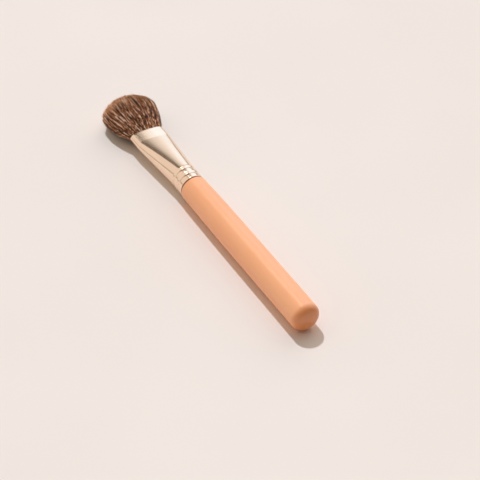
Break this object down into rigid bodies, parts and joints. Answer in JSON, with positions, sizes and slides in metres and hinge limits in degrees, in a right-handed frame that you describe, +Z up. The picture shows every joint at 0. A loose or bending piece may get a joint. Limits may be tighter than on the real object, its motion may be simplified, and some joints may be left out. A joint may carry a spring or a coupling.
{
  "type": "blush brush",
  "caption": "Blush brush: a turned round handle, a pressed metal ferrule that flattens to a wide mouth, and a domed fan of soft hair.",
  "frame": {"origin": "middle of the brush's box, on the surface that it lies on", "axes": "+X from the butt of the handle to the tips of the hair, +Z up, through the thickness of the fan; the axis of the handle falls 0.34 degrees towards +X"},
  "size_m": [0.1636, 0.0254, 0.0133],
  "materials": {
    "handle": "smooth satin lacquer, peach",
    "ferrule": "polished, champagne anodised",
    "glue": "set clear-amber resin",
    "hair": "fine soft hair, chestnut brown"
  },
  "bodies": {
    "root": {"handle": "handle", "ferrule": "ferrule", "glue_plug": "glue", "hair_tuft": "hair"}
  },
  "joints": []
}
